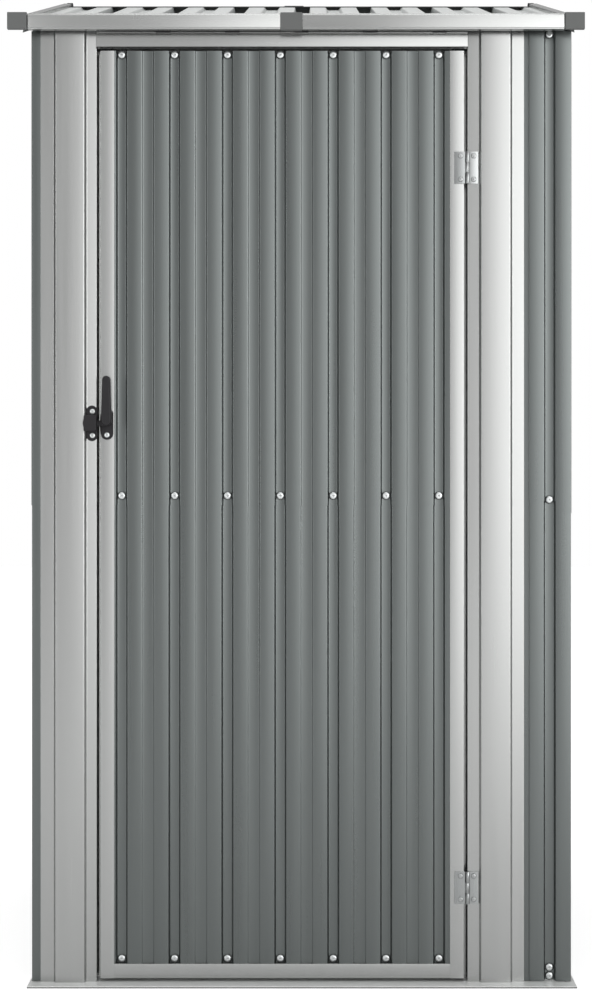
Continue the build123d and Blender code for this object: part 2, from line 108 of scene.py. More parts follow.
# Rolled steel: long streaks along the piece, fine spangle and a soft waviness
def makeRolledSteel():
    group = bpy.data.node_groups.new("rolledSteel", "ShaderNodeTree")
    groupSockets(group, [("Colour", "Color", (0.5, 0.5, 0.5, 1)), ("Variation", "Float", 0.08),
                         ("Roughness", "Float", 0.35), ("Streak", "Float", 60.0), ("Wave", "Float", 9.0),
                         ("Stretch", "Vector", (1, 1, 0.03))],
                 [("Colour", "Color"), ("Roughness", "Float"), ("Height", "Float")])
    source = group.nodes.new("NodeGroupInput")
    result = group.nodes.new("NodeGroupOutput")
    place = group.nodes.new("ShaderNodeTexCoord")
    stretch = group.nodes.new("ShaderNodeMapping")
    group.links.new(source.outputs["Stretch"], stretch.inputs["Scale"])
    group.links.new(place.outputs["Object"], stretch.inputs["Vector"])
    streak = group.nodes.new("ShaderNodeTexNoise")
    streak.inputs["Detail"].default_value = 3
    group.links.new(stretch.outputs["Vector"], streak.inputs["Vector"])
    group.links.new(source.outputs["Streak"], streak.inputs["Scale"])
    spangle = group.nodes.new("ShaderNodeTexNoise")
    spangle.inputs["Scale"].default_value = rolledSettings["spangle"]
    spangle.inputs["Detail"].default_value = 2
    group.links.new(place.outputs["Object"], spangle.inputs["Vector"])
    wave = group.nodes.new("ShaderNodeTexNoise")
    wave.inputs["Detail"].default_value = 1
    group.links.new(stretch.outputs["Vector"], wave.inputs["Vector"])
    group.links.new(source.outputs["Wave"], wave.inputs["Scale"])
    blend = mathNode(group, "MULTIPLY", streak.outputs["Fac"], rolledSettings["streakShare"])
    grain = mathNode(group, "MULTIPLY", spangle.outputs["Fac"], rolledSettings["spangleShare"])
    total = mathNode(group, "SUBTRACT", mathNode(group, "ADD", blend, grain), 0.5)
    change = mathNode(group, "MULTIPLY", total, source.outputs["Variation"])
    factor = mathNode(group, "ADD", change, 1.0)
    scale = group.nodes.new("ShaderNodeVectorMath")
    scale.operation = "SCALE"
    group.links.new(source.outputs["Colour"], scale.inputs[0])
    group.links.new(factor, scale.inputs["Scale"])
    group.links.new(scale.outputs[0], result.inputs["Colour"])
    change = mathNode(group, "MULTIPLY", total, rolledSettings["roughnessChange"])
    rough = mathNode(group, "ADD", source.outputs["Roughness"], change)
    group.links.new(rough, result.inputs["Roughness"])
    group.links.new(wave.outputs["Fac"], result.inputs["Height"])
    return group


rolledSteel = makeRolledSteel()


mouldedSettings = {"cloud": 40, "colourChange": 0.12, "roughnessChange": 0.2, "bump": 0.3,
                   "bumpDepth": 0.1 * mm}


# Moulded plastic: fine pits and a faint unevenness
def makeMoulded():
    group = bpy.data.node_groups.new("mouldedPlastic", "ShaderNodeTree")
    groupSockets(group, [("Colour", "Color", (0.1, 0.1, 0.1, 1)), ("Roughness", "Float", 0.5),
                         ("Pits", "Float", 1400.0)],
                 [("Colour", "Color"), ("Roughness", "Float"), ("Height", "Float")])
    source = group.nodes.new("NodeGroupInput")
    result = group.nodes.new("NodeGroupOutput")
    place = group.nodes.new("ShaderNodeTexCoord")
    pits = group.nodes.new("ShaderNodeTexNoise")
    pits.inputs["Detail"].default_value = 2
    group.links.new(place.outputs["Object"], pits.inputs["Vector"])
    group.links.new(source.outputs["Pits"], pits.inputs["Scale"])
    cloud = group.nodes.new("ShaderNodeTexNoise")
    cloud.inputs["Scale"].default_value = mouldedSettings["cloud"]
    group.links.new(place.outputs["Object"], cloud.inputs["Vector"])
    total = mathNode(group, "SUBTRACT", cloud.outputs["Fac"], 0.5)
    change = mathNode(group, "MULTIPLY", total, mouldedSettings["colourChange"])
    factor = mathNode(group, "ADD", change, 1.0)
    scale = group.nodes.new("ShaderNodeVectorMath")
    scale.operation = "SCALE"
    group.links.new(source.outputs["Colour"], scale.inputs[0])
    group.links.new(factor, scale.inputs["Scale"])
    group.links.new(scale.outputs[0], result.inputs["Colour"])
    change = mathNode(group, "MULTIPLY", total, mouldedSettings["roughnessChange"])
    rough = mathNode(group, "ADD", source.outputs["Roughness"], change)
    group.links.new(rough, result.inputs["Roughness"])
    group.links.new(pits.outputs["Fac"], result.inputs["Height"])
    return group


mouldedPlastic = makeMoulded()


# Long trims are shaded by bump as bowing a little between their ends, so the light slides along them
def makeLongBow():
    group = bpy.data.node_groups.new("longBow", "ShaderNodeTree")
    groupSockets(group, [("Repeats", "Float", 1.0), ("Rise", "Float", 0.008)], [("Height", "Float")])
    source = group.nodes.new("NodeGroupInput")
    result = group.nodes.new("NodeGroupOutput")
    place = group.nodes.new("ShaderNodeTexCoord")
    split = group.nodes.new("ShaderNodeSeparateXYZ")
    group.links.new(place.outputs["Generated"], split.inputs[0])
    along = mathNode(group, "MULTIPLY", split.outputs["X"], source.outputs["Repeats"])
    part = mathNode(group, "SUBTRACT", mathNode(group, "FRACT", along, 0.0), 0.5)
    square = mathNode(group, "MULTIPLY", part, part)
    rise = mathNode(group, "MULTIPLY", source.outputs["Rise"], -4.0)
    group.links.new(mathNode(group, "MULTIPLY", square, rise), result.inputs["Height"])
    return group


longBow = makeLongBow()


def steelMaterial(name, settings):
    material, tree, shader = newMaterial(name)
    effect = addGroup(tree, rolledSteel, Colour=(*settings["colour"], 1), Variation=settings["variation"],
                      Roughness=settings["roughness"], Streak=settings["streak"], Wave=settings["wave"],
                      Stretch=settings.get("stretch", (1, 1, 0.03)))
    tree.links.new(effect.outputs["Colour"], shader.inputs["Base Color"])
    tree.links.new(effect.outputs["Roughness"], shader.inputs["Roughness"])
    bump = tree.nodes.new("ShaderNodeBump")
    bump.inputs["Strength"].default_value = settings["bump"]
    bump.inputs["Distance"].default_value = settings["bumpDepth"]
    tree.links.new(effect.outputs["Height"], bump.inputs["Height"])
    shader.inputs["Metallic"].default_value = settings["metallic"]
    normal = bump.outputs["Normal"]
    if "bow" in settings:
        bow = addGroup(tree, longBow, Repeats=settings["repeats"], Rise=settings["bow"])
        curve = tree.nodes.new("ShaderNodeBump")
        curve.inputs["Distance"].default_value = 1.0
        tree.links.new(bow.outputs["Height"], curve.inputs["Height"])
        tree.links.new(normal, curve.inputs["Normal"])
        normal = curve.outputs["Normal"]
    tree.links.new(normal, shader.inputs["Normal"])
    if "valley" in settings:
        tree.links.new(valleyPaintedShade(tree, effect, settings), shader.inputs["Base Color"])
    if "foot" in settings:
        tree.links.new(footPaintedShadow(tree, effect, settings), shader.inputs["Base Color"])
    return material


def footPaintedShadow(tree, effect, settings):
    # Painted contact shadow: the lowest edge, which lies on the ground, is painted dark
    place = tree.nodes.new("ShaderNodeTexCoord")
    split = tree.nodes.new("ShaderNodeSeparateXYZ")
    tree.links.new(place.outputs["Object"], split.inputs[0])
    blend = tree.nodes.new("ShaderNodeMix")
    blend.data_type = "RGBA"
    blend.inputs["A"].default_value = (*settings["footPaintedShadow"], 1)
    above = mathNode(tree, "GREATER_THAN", split.outputs["Z"], settings["foot"])
    tree.links.new(above, blend.inputs["Factor"])
    tree.links.new(effect.outputs["Colour"], blend.inputs["B"])
    return blend.outputs["Result"]


def valleyPaintedShade(tree, effect, settings):
    # Painted shade: darker down in the valleys of the roof, by the depth under the crowns
    place = tree.nodes.new("ShaderNodeTexCoord")
    split = tree.nodes.new("ShaderNodeSeparateXYZ")
    tree.links.new(place.outputs["Object"], split.inputs[0])
    along = mathNode(tree, "ABSOLUTE", split.outputs["Y"], 0.0)
    rise = mathNode(tree, "MULTIPLY", along, settings["slope"])
    depth = tree.nodes.new("ShaderNodeMapRange")
    tree.links.new(mathNode(tree, "ADD", split.outputs["Z"], rise), depth.inputs["Value"])
    depth.inputs["From Min"].default_value = settings["low"]
    depth.inputs["From Max"].default_value = settings["high"]
    blend = tree.nodes.new("ShaderNodeMix")
    blend.data_type = "RGBA"
    blend.blend_type = "MULTIPLY"
    blend.inputs["Factor"].default_value = 1.0
    shade = tree.nodes.new("ShaderNodeMix")
    shade.data_type = "RGBA"
    shade.inputs["A"].default_value = (*settings["valley"], 1)
    shade.inputs["B"].default_value = (1, 1, 1, 1)
    tree.links.new(depth.outputs["Result"], shade.inputs["Factor"])
    tree.links.new(effect.outputs["Colour"], blend.inputs["A"])
    tree.links.new(shade.outputs["Result"], blend.inputs["B"])
    return blend.outputs["Result"]


def plasticMaterial(name, settings):
    material, tree, shader = newMaterial(name)
    effect = addGroup(tree, mouldedPlastic, Colour=(*settings["colour"], 1),
                      Roughness=settings["roughness"], Pits=settings["pits"])
    if "above" in settings:
        place = tree.nodes.new("ShaderNodeTexCoord")
        height = tree.nodes.new("ShaderNodeSeparateXYZ")
        tree.links.new(place.outputs["Object"], height.inputs[0])
        blend = tree.nodes.new("ShaderNodeMix")
        blend.data_type = "RGBA"
        blend.inputs["A"].default_value = (*settings["colour"], 1)
        blend.inputs["B"].default_value = (*settings["aboveColour"], 1)
        top = mathNode(tree, "GREATER_THAN", height.outputs["Z"], settings["above"])
        tree.links.new(top, blend.inputs["Factor"])
        tree.links.new(blend.outputs["Result"], effect.inputs["Colour"])
    tree.links.new(effect.outputs["Colour"], shader.inputs["Base Color"])
    tree.links.new(effect.outputs["Roughness"], shader.inputs["Roughness"])
    shader.inputs["Specular IOR Level"].default_value = settings.get("specular", 0.5)
    bump = tree.nodes.new("ShaderNodeBump")
    bump.inputs["Strength"].default_value = mouldedSettings["bump"]
    bump.inputs["Distance"].default_value = mouldedSettings["bumpDepth"]
    tree.links.new(effect.outputs["Height"], bump.inputs["Height"])
    tree.links.new(bump.outputs["Normal"], shader.inputs["Normal"])
    return material


steelSettings = {
    "greySheet": {"colour": (0.128, 0.139, 0.137), "variation": 0.18, "roughness": 0.29, "streak": 60,
                  "wave": 14, "bump": 0.4, "bumpDepth": 0.0010, "metallic": 0.85},
    "greyTrim": {"colour": (0.38, 0.385, 0.38), "variation": 0.06, "roughness": 0.25, "streak": 90,
                 "wave": 8, "bump": 0.1, "bumpDepth": 0.0003, "metallic": 0.88},
    "eaveTrim": {"colour": (0.37, 0.375, 0.37), "variation": 0.06, "roughness": 0.26, "streak": 90,
                 "wave": 8, "bump": 0.05, "bumpDepth": 0.0002, "metallic": 0.88, "bow": 0.015,
                 "repeats": 2.0, "stretch": (0.03, 1, 1)},
    "lintelTrim": {"colour": (0.38, 0.385, 0.38), "variation": 0.06, "roughness": 0.26, "streak": 90,
                   "wave": 8, "bump": 0.05, "bumpDepth": 0.0002, "metallic": 0.88, "bow": 0.014,
                   "repeats": 1.0, "stretch": (0.03, 1, 1)},
    # Painted light: the roof sheets are far lighter than the wall sheets, for the light from above that
    # falls on them
    "roofSheetLit": {"colour": (0.70, 0.72, 0.71), "variation": 0.10, "roughness": 0.38, "streak": 60,
                  "wave": 14, "bump": 0.2, "bumpDepth": 0.0006, "metallic": 0.6, "stretch": (1, 0.03, 1),
                  # valley: the painted shade colour, multiplied in by the depth of the valleys
                  "valley": (0.42, 0.45, 0.45), "slope": 0.2484, "low": 1.5675, "high": 1.583},
    # Painted shade: the ridge cap is near black, like the black ridge joints, so that it shows as the dark
    # shadow line along the ridge
    "ridgePaintedShade": {"colour": (0.030, 0.031, 0.031), "variation": 0.12, "roughness": 0.4, "streak": 60,
                  "wave": 14, "bump": 0.2, "bumpDepth": 0.0004, "metallic": 0.5, "stretch": (0.03, 1, 1)},
    "hingeSteel": {"colour": (0.31, 0.32, 0.32), "variation": 0.10, "roughness": 0.28, "streak": 200,
                   "wave": 60, "bump": 0.1, "bumpDepth": 0.0002, "metallic": 1.0, "bow": 0.0009,
                   "repeats": 1.0},
    "baseSteel": {"colour": (0.72, 0.73, 0.72), "variation": 0.12, "roughness": 0.34, "streak": 90,
                  "wave": 8, "bump": 0.2, "bumpDepth": 0.0004, "metallic": 0.2, "stretch": (0.03, 1, 1),
                  # below foot the rail is painted near black, a painted contact shadow
                  "foot": 0.0018, "footPaintedShadow": (0.02, 0.02, 0.02)},
    "screwZinc": {"colour": (0.60, 0.62, 0.62), "variation": 0.10, "roughness": 0.30, "streak": 300,
                  "wave": 90, "bump": 0.1, "bumpDepth": 0.0002, "metallic": 0.8},
    "hingeZinc": {"colour": (0.40, 0.41, 0.41), "variation": 0.10, "roughness": 0.30, "streak": 300,
                  "wave": 90, "bump": 0.1, "bumpDepth": 0.0002, "metallic": 0.9},
}
plasticSettings = {
    "capPlastic": {"colour": (0.110, 0.114, 0.112), "roughness": 0.55, "pits": 1400,
                   "above": 1.55, "aboveColour": (0.012, 0.012, 0.012)},  # the ridge pieces are black
    "latchPlastic": {"colour": (0.020, 0.019, 0.021), "roughness": 0.42, "pits": 1400, "specular": 0.2},
    "washerRubber": {"colour": (0.060, 0.065, 0.065), "roughness": 0.7, "pits": 900},
    "recessShade": {"colour": (0.50, 0.51, 0.51), "roughness": 0.5, "pits": 900},
}
finishes = {name: steelMaterial(name, s) for name, s in steelSettings.items()}
finishes.update({name: plasticMaterial(name, s) for name, s in plasticSettings.items()})


# Finish of each part of the frame; the others are greyTrim
partFinish = {
    "greySheet": ["left_wall_lower", "left_wall_upper", "right_wall_lower", "right_wall_upper",
                  "back_wall_lower", "back_wall_upper", "front_wall_lower", "front_wall_upper",
                  "left_gable", "right_gable", "door_sheet_lower", "door_sheet_upper"],
    "roofSheetLit": ["front_roof_sheet", "back_roof_sheet"],
    "ridgePaintedShade": ["ridge_cap"],
    "eaveTrim": ["front_eave_bars", "back_eave_bars"],
    "lintelTrim": ["lintel"],
    "hingeSteel": ["hinge_jamb_leaves", "hinge_door_leaves"],
    "baseSteel": ["base_front_rail", "base_back_rail", "base_left_rail", "base_right_rail"],
    "latchPlastic": ["handle_base", "handle_lever", "latch_keeper"],
    "capPlastic": ["corner_caps", "centre_caps"],
}


def dressNodes():
    named = {node: finish for finish, group in partFinish.items() for node in group}
    for name, node in nodes.items():
        finish = finishes[named.get(name, "greyTrim")]
        node.data.materials.clear()
        node.data.materials.append(finish)


dressNodes()
print("finishes made")


# Rolled folds and moulded rims are slightly round, so that they catch the light
edgeSettings = {
    "trims": {"width": 1.3 * mm, "segments": 5, "rolled": True,
              "nodes": ["left_jamb", "right_jamb", "door_left_stile", "door_right_stile", "lintel",
                        "front_eave_bars", "back_eave_bars", "left_barge_trims", "right_barge_trims",
                        "door_bottom_rail", "ridge_cap"]},
    "sheets": {"width": 1.0 * mm, "segments": 3, "rolled": True,
               "nodes": ["left_wall_lower", "left_wall_upper", "right_wall_lower", "right_wall_upper",
                         "back_wall_lower", "back_wall_upper", "front_wall_lower", "front_wall_upper",
                         "door_sheet_lower", "door_sheet_upper", "front_roof_sheet", "back_roof_sheet"]},
    "caps": {"width": 0.8 * mm, "segments": 3, "rolled": False, "nodes": ["corner_caps", "centre_caps"]},
    "plates": {"width": 0.4 * mm, "segments": 2, "rolled": False,
               "nodes": ["hinge_jamb_leaves", "hinge_door_leaves"]},
    "rails": {"width": 0.8 * mm, "segments": 2, "rolled": False,
              "nodes": ["base_front_rail", "base_back_rail", "base_left_rail", "base_right_rail"]},
}
rollSettings = {
    "shortest": 90 * mm,  # shorter edges are cut ends, which stay sharp
    "least": math.radians(12),  # smallest bend that counts as a fold
    "narrow": 1.3 * mm,  # the edge of the sheet itself, which is only a little round
    "rim": 0.25 * mm,
    "sharp": math.radians(40),  # steeper steps stay hard after the rounding
    "weld": 0.005 * mm,
    "flat": math.radians(1),  # faces that turn less than this become one
    "corner": math.radians(20),  # least corner that is rounded on caps, plates and rails
}


def geometryGroup(name):
    group = bpy.data.node_groups.new(name, "GeometryNodeTree")
    group.interface.new_socket("Mesh", in_out="INPUT", socket_type="NodeSocketGeometry")
    group.interface.new_socket("Mesh", in_out="OUTPUT", socket_type="NodeSocketGeometry")
    return group, group.nodes.new("NodeGroupInput"), group.nodes.new("NodeGroupOutput")


def compareNode(group, value, limit, operation="GREATER_THAN"):
    node = group.nodes.new("FunctionNodeCompare")
    node.operation = operation
    group.links.new(value, node.inputs[0])
    node.inputs[1].default_value = limit
    return node.outputs[0]


def onDomain(group, value, kind, domain):
    node = group.nodes.new("GeometryNodeFieldOnDomain")
    node.data_type = kind
    node.domain = domain
    group.links.new(value, node.inputs[0])
    return node.outputs[0]


def bothNode(group, first, second):
    node = group.nodes.new("FunctionNodeBooleanMath")
    node.operation = "AND"
    group.links.new(first, node.inputs[0])
    group.links.new(second, node.inputs[1])
    return node.outputs[0]


def makeFoldMarks():
    group, source, result = geometryGroup("foldMarks")
    ends = group.nodes.new("GeometryNodeInputMeshEdgeVertices")
    span = group.nodes.new("ShaderNodeVectorMath")
    span.operation = "DISTANCE"
    group.links.new(ends.outputs["Position 1"], span.inputs[0])
    group.links.new(ends.outputs["Position 2"], span.inputs[1])
    length = onDomain(group, span.outputs["Value"], "FLOAT", "EDGE")
    area = group.nodes.new("GeometryNodeInputMeshFaceArea").outputs["Area"]
    width = mathNode(group, "DIVIDE", area, mathNode(group, "MULTIPLY", length, 2.0))  # of a long strip
    wide = compareNode(group, width, rollSettings["narrow"], "LESS_THAN")
    rim = onDomain(group, onDomain(group, wide, "BOOLEAN", "FACE"), "BOOLEAN", "EDGE")
    inside = group.nodes.new("FunctionNodeBooleanMath")
    inside.operation = "NOT"
    group.links.new(rim, inside.inputs[0])
    angle = group.nodes.new("GeometryNodeInputMeshEdgeAngle").outputs["Unsigned Angle"]
    bent = compareNode(group, angle, rollSettings["least"])
    long = compareNode(group, length, rollSettings["shortest"])
    fold = bothNode(group, bothNode(group, bent, long), inside.outputs[0])
    edge = bothNode(group, bothNode(group, bent, long), rim)
    mesh = source.outputs[0]
    for name, marked in (("fold", fold), ("rim", edge)):
        store = group.nodes.new("GeometryNodeStoreNamedAttribute")
        store.data_type = "FLOAT"
        store.domain = "EDGE"
        store.inputs["Name"].default_value = name
        group.links.new(mesh, store.inputs["Geometry"])
        group.links.new(marked, store.inputs["Value"])
        mesh = store.outputs[0]
    group.links.new(mesh, result.inputs[0])
    return group


def makeRolledShade():
    # The flats between two folds are shaded as slightly crowned, as rolled sheet is
    group, source, result = geometryGroup("rolledShade")
    plain = group.nodes.new("GeometryNodeRemoveAttribute")
    plain.inputs["Name"].default_value = "custom_normal"
    group.links.new(source.outputs[0], plain.inputs["Geometry"])
    faces = group.nodes.new("GeometryNodeSetShadeSmooth")
    faces.domain = "FACE"
    group.links.new(plain.outputs[0], faces.inputs["Geometry"])
    edges = group.nodes.new("GeometryNodeSetShadeSmooth")
    edges.domain = "EDGE"
    edges.inputs["Shade Smooth"].default_value = False
    angle = group.nodes.new("GeometryNodeInputMeshEdgeAngle")
    group.links.new(compareNode(group, angle.outputs["Unsigned Angle"], rollSettings["sharp"]),
                    edges.inputs["Selection"])
    group.links.new(faces.outputs[0], edges.inputs["Geometry"])
    group.links.new(edges.outputs[0], result.inputs[0])
    return group


foldMarks = makeFoldMarks()
rolledShade = makeRolledShade()


def addBevel(node, name, width, segments):
    bevel = node.modifiers.new(name, "BEVEL")
    bevel.width = width
    bevel.segments = segments
    bevel.use_clamp_overlap = True
    return bevel


def roundEdges():
    for settings in edgeSettings.values():
        for name in settings["nodes"]:
            node = nodes[name]
            weld = node.modifiers.new("weld", "WELD")
            weld.merge_threshold = rollSettings["weld"]
            if settings["rolled"]:
                flats = node.modifiers.new("flats", "DECIMATE")
                flats.decimate_type = "DISSOLVE"
                flats.angle_limit = rollSettings["flat"]
                node.modifiers.new("marks", "NODES").node_group = foldMarks
                for mark, width in (("fold", settings["width"]), ("rim", rollSettings["rim"])):
                    bevel = addBevel(node, mark, width, settings["segments"])
                    bevel.limit_method = "WEIGHT"
                    bevel.edge_weight = mark
                node.modifiers.new("shade", "NODES").node_group = rolledShade
            else:
                bevel = addBevel(node, "edges", settings["width"], settings["segments"])
                bevel.limit_method = "ANGLE"
                bevel.angle_limit = rollSettings["corner"]
                bevel.harden_normals = True


roundEdges()
print("folds rounded")


screwSettings = {  # domed heads on rubber washers, with a cross recess
    "sheetScrew": {"radius": 5.4 * mm, "height": 2.4 * mm, "washer": 6.4 * mm, "recess": 2.1 * mm},
    "hingeScrew": {"radius": 3.5 * mm, "height": 1.4 * mm, "washer": 3.9 * mm, "recess": 1.8 * mm},
    "latchScrew": {"radius": 3.9 * mm, "height": 1.5 * mm, "washer": 4.4 * mm, "recess": 1.9 * mm},
}
headSettings = {  # shares of the radius and the height, as in (across, up)
    "segments": 24,
    "dome": [(1.0, 0.42), (1.0, 0.55), (0.93, 0.74), (0.80, 0.88), (0.62, 0.97), (0.52, 1.0)],
    "washerEdge": [(1.0, 0), (1.0, 0.35), (0.97, 0.42)],
    "washerInside": (0.9, 0.42),  # under the dome, a share of the head's own radius
    "arm": 0.24,  # half the width of one arm of the cross, a share of its reach
    "deep": (0.8, 0.7),
    "spin": 0.9,  # each cross is turned this much further than the last, in radians
}


def ringOf(mesh, radius, height, segments):
    turns = [2 * math.pi * k / segments for k in range(segments)]
    return [mesh.verts.new((radius * math.cos(t), radius * math.sin(t), height)) for t in turns]


def joinRings(mesh, low, high, finish):
    count = len(low)
    for k in range(count):
        face = mesh.faces.new((low[k], low[(k + 1) % count], high[(k + 1) % count], high[k]))
        face.material_index = finish
        face.smooth = True


def crossOf(mesh, reach, height):
    half = reach * headSettings["arm"]
    outline = [(half, half), (half, reach), (-half, reach), (-half, half), (-reach, half), (-reach, -half),
               (-half, -half), (-half, -reach), (half, -reach), (half, -half), (reach, -half), (reach, half)]
    return [mesh.verts.new((x, y, height)) for x, y in outline]


def addScrew(mesh, place, facing, spin, radius, height, washer, recess):
    segments = headSettings["segments"]
    first = len(mesh.verts)
    across, up = headSettings["washerInside"]
    washerProfile = [(washer * r, z * height) for r, z in headSettings["washerEdge"]]
    washerProfile.append((radius * across, up * height))
    seal = [ringOf(mesh, r, z, segments) for r, z in washerProfile]
    for low, high in zip(seal, seal[1:]):
        joinRings(mesh, low, high, 1)
    head = [ringOf(mesh, radius * r, height * z, segments) for r, z in headSettings["dome"]]
    for low, high in zip(head, head[1:]):
        joinRings(mesh, low, high, 0)
    top = crossOf(mesh, recess, height)
    across, up = headSettings["deep"]
    deep = crossOf(mesh, recess * across, height * up)
    corners = len(top)
    for k in range(corners):
        near = (k + 1) % corners
        mesh.faces.new((top[k], top[near], deep[near], deep[k])).material_index = 2
    mesh.faces.new(deep).material_index = 2
    mesh.verts.index_update()
    rim = [mesh.edges.get((head[-1][k], head[-1][(k + 1) % segments])) for k in range(segments)]
    rim += [mesh.edges.get((top[k], top[(k + 1) % corners])) for k in range(corners)]
    bmesh.ops.triangle_fill(mesh, edges=rim, use_beauty=True)
    turn = Vector((0, 0, 1)).rotation_difference(Vector(facing)).to_matrix().to_4x4()
    move = Matrix.Translation(place) @ turn @ Matrix.Rotation(spin, 4, "Z")
    mesh.verts.ensure_lookup_table()
    bmesh.ops.transform(mesh, matrix=move, verts=mesh.verts[first:])


def placeScrews(name, body, kind, places, facing):
    mesh = bmesh.new()
    for k, place in enumerate(places):
        addScrew(mesh, place, facing, headSettings["spin"] * k, **screwSettings[kind])
    bmesh.ops.recalc_face_normals(mesh, faces=mesh.faces)
    data = bpy.data.meshes.new(name)
    mesh.to_mesh(data)
    mesh.free()
    head = "hingeZinc" if kind == "hingeScrew" else "screwZinc"
    for finish in (head, "washerRubber", "recessShade"):
        data.materials.append(finishes[finish])
    piece = bpy.data.objects.new(name, data)
    bpy.context.scene.collection.objects.link(piece)
    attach(piece, body)
    return piece


# Where the rows of screws lie, in millimetres, across from the middle of the walls
rowSettings = {
    "doorValleys": [-273.6 + 80.5 * k for k in range(7)],
    "doorTop": 1413, "doorSeam": 741.5, "doorFoot": 36.5,
    "frontValley": 377.7, "frontUpper": [1444.0, 735.5], "frontLower": [23.2, 10.2],
    "sideValleys": [80.5 * k for k in range(-5, 6)],
    "backValleys": [80.5 * k for k in range(-4, 5)],
    "wallTop": 1436, "wallSeam": 738, "wallSeamRight": 726, "wallFoot": 24,
    "hingeLevels": [146.0, 1240.0], "hingeOffset": 17.8, "hingeDoor": 241.8, "hingeJamb": 261.7,
    "keeper": (-317.4, 851.2, 18.2), "handle": (-295.2, 833.8),
    "sheet": 0.7, "leaf": 1.5,  # thickness of a sheet and of a hinge leaf
    "ribDepth": 8, "valleyFace": 1.4,  # from the back of the door's upper sheet to a valley's outer face
}


def wallPlaces(xs, y, zs):
    return [(wallShift + x * mm, y, z * mm) for x in xs for z in zs]


def setScrews():
    rows = rowSettings
    sheet = rows["sheet"]
    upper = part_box("door_sheet_upper")[1].y - rows["valleyFace"] * mm
    lower = upper + sheet * mm
    front = (0, -1, 0)
    places = wallPlaces(rows["doorValleys"], upper, [rows["doorTop"], rows["doorSeam"]])
    places += wallPlaces(rows["doorValleys"], lower, [rows["doorFoot"]])
    placeScrews("door_screws", "door", "sheetScrew", places, front)
    places = wallPlaces([rows["frontValley"]], upper, rows["frontUpper"])
    places += wallPlaces([rows["frontValley"]], lower, rows["frontLower"])
    placeScrews("front_wall_screws", "shed", "sheetScrew", places, front)
    back = -upper
    places = wallPlaces(rows["backValleys"], back, [rows["wallTop"], rows["wallSeam"]])
    places += wallPlaces(rows["backValleys"], back - sheet * mm, [rows["wallFoot"]])
    placeScrews("back_wall_screws", "shed", "sheetScrew", places, (0, 1, 0))
    for side, way, seam in (("left", -1, rows["wallSeam"]), ("right", 1, rows["wallSeamRight"])):
        boxLow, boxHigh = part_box(side + "_wall_upper")
        outer = (boxHigh.x if way > 0 else boxLow.x) - way * rows["ribDepth"] * mm
        places = [(outer, y * mm, z * mm) for y in rows["sideValleys"] for z in (rows["wallTop"], seam)]
        places += [(outer - way * sheet * mm, y * mm, rows["wallFoot"] * mm) for y in rows["sideValleys"]]
        placeScrews(side + "_wall_screws", "shed", "sheetScrew", places, (way, 0, 0))
    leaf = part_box("door_left_stile")[0].y - rows["leaf"] * mm
    heights = [level + way * rows["hingeOffset"] for level in rows["hingeLevels"] for way in (-1, 1)]
    for name, body, x in (("hinge_door_screws", "door", rows["hingeDoor"]),
                          ("hinge_jamb_screws", "shed", rows["hingeJamb"])):
        placeScrews(name, body, "hingeScrew", wallPlaces([x], leaf, heights), front)
    x, z, offset = rows["keeper"]
    places = wallPlaces([x], leaf, [z - offset, z + offset])
    placeScrews("keeper_screws", "shed", "latchScrew", places, front)
    x, z = rows["handle"]
    places = wallPlaces([x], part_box("handle_base")[0].y, [z])
    placeScrews("handle_screw", "door", "latchScrew", places, front)


setScrews()
print("screws set")


# Drip strip under the eave bar, and black blocks in the roof valleys: painted shadow for the shaded
# undersides of the valleys
dripSettings = {
    "low": 1443.8 * mm, "high": 1448.6 * mm, "front": -464.5 * mm, "back": -459.0 * mm,
    "easing": 0.6 * mm, "roofPitch": 105.0 * mm,
    # the black blocks are painted shadow, standing for the valley undersides in shade
    "shadowBlockWidth": 22.0 * mm, "shadowBlockLow": 1444.0 * mm, "shadowBlockHeight": 6.0 * mm,
    "shadowBlockFront": 6.0 * mm, "shadowBlockBack": 0.3 * mm,  # both ahead of the strip's front
    "shadowBlockEasing": 0.5 * mm,
}


def boxPiece(name, boxes, finish, easing):
    mesh = bmesh.new()
    for low, high in boxes:
        made = bmesh.ops.create_cube(mesh, size=1)["verts"]
        centre = (Vector(low) + Vector(high)) / 2
        size = Vector(high) - Vector(low)
        move = Matrix.Translation(centre) @ Matrix.Diagonal((*size, 1))
        bmesh.ops.transform(mesh, matrix=move, verts=made)
    data = bpy.data.meshes.new(name)
    mesh.to_mesh(data)
    mesh.free()
    data.materials.append(finish)
    piece = bpy.data.objects.new(name, data)
    bpy.context.scene.collection.objects.link(piece)
    bevel = addBevel(piece, "edges", easing, 2)
    bevel.harden_normals = True
    return piece


def makeDrip():
    settings = dripSettings
    low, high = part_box("lintel")
    strip = boxPiece("eave_drip", [((low.x, settings["front"], settings["low"]),
                                    (high.x, settings["back"], settings["high"]))],
                     finishes["lintelTrim"], settings["easing"])
    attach(strip, "shed")
    half = settings["shadowBlockWidth"] / 2
    middles = [wallShift + k * settings["roofPitch"] for k in range(-3, 4)]
    front, back = settings["front"] - settings["shadowBlockFront"], settings["front"] - settings["shadowBlockBack"]
    foot, top = settings["shadowBlockLow"], settings["shadowBlockLow"] + settings["shadowBlockHeight"]
    boxes = [((x - half, front, foot), (x + half, back, top))
             for x in middles if low.x < x - half and x + half < high.x]
    # Painted shadow: black blocks where the undersides of the roof valleys lie in shade
    shadowBlocks = boxPiece("valley_shadow_blocks", boxes, finishes["latchPlastic"], settings["shadowBlockEasing"])
    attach(shadowBlocks, "shed")


makeDrip()
print("eave closed")


